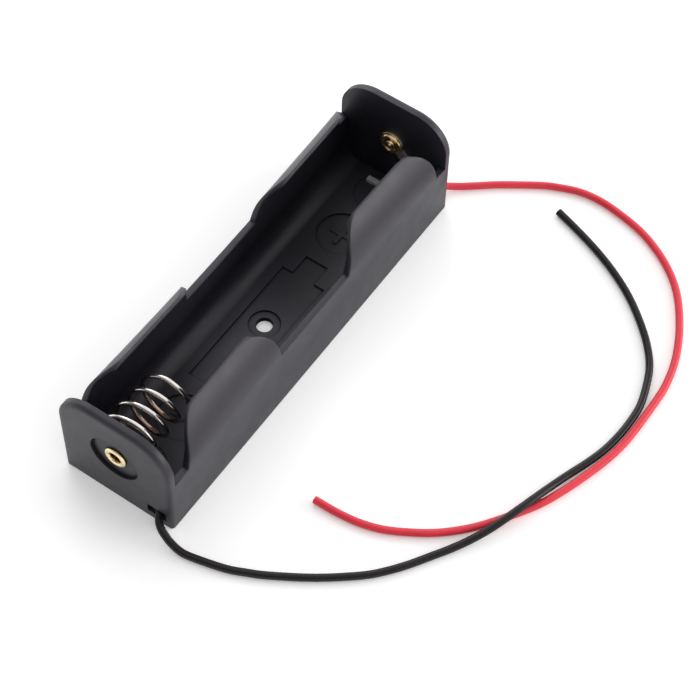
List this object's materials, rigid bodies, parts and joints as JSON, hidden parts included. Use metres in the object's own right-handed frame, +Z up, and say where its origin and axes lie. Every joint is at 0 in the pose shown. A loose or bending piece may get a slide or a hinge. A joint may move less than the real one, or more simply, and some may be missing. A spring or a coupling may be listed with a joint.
{
  "type": "cylindrical cell holder",
  "caption": "Open moulded holder for a single round cell, with a coil spring contact, a rivet contact and a red and a black wire lead.",
  "frame": {"origin": "centre of the tray's underside", "axes": "+X across the tray towards the side where both leads leave, +Y along the cell towards the positive end, +Z up out of the open bay"},
  "size_m": [0.071, 0.0965, 0.0208],
  "materials": {
    "black_plastic": "fine matt moulding",
    "nickel": "bright plated spring wire",
    "brass": "bright",
    "tin": "tinned sheet",
    "solder": "satin",
    "black_insulation": "soft satin",
    "red_insulation": "soft satin"
  },
  "bodies": {
    "holder": {"tray": "black_plastic", "negative_eyelet": "brass", "negative_lug": "tin", "negative_solder": "solder", "positive_rivet": "brass", "positive_lug": "tin", "positive_solder": "solder", "black_lead": "black_insulation", "red_lead": "red_insulation"},
    "spring": {"contact_spring": "nickel"}
  },
  "joints": [
    {"name": "spring_press", "type": "slide", "parent": "holder", "child": "spring", "axis": [0, -1, 0], "range_m": [0, 0.0055], "stiffness_N_per_m": 600, "deforming": ["contact_spring"]}
  ]
}
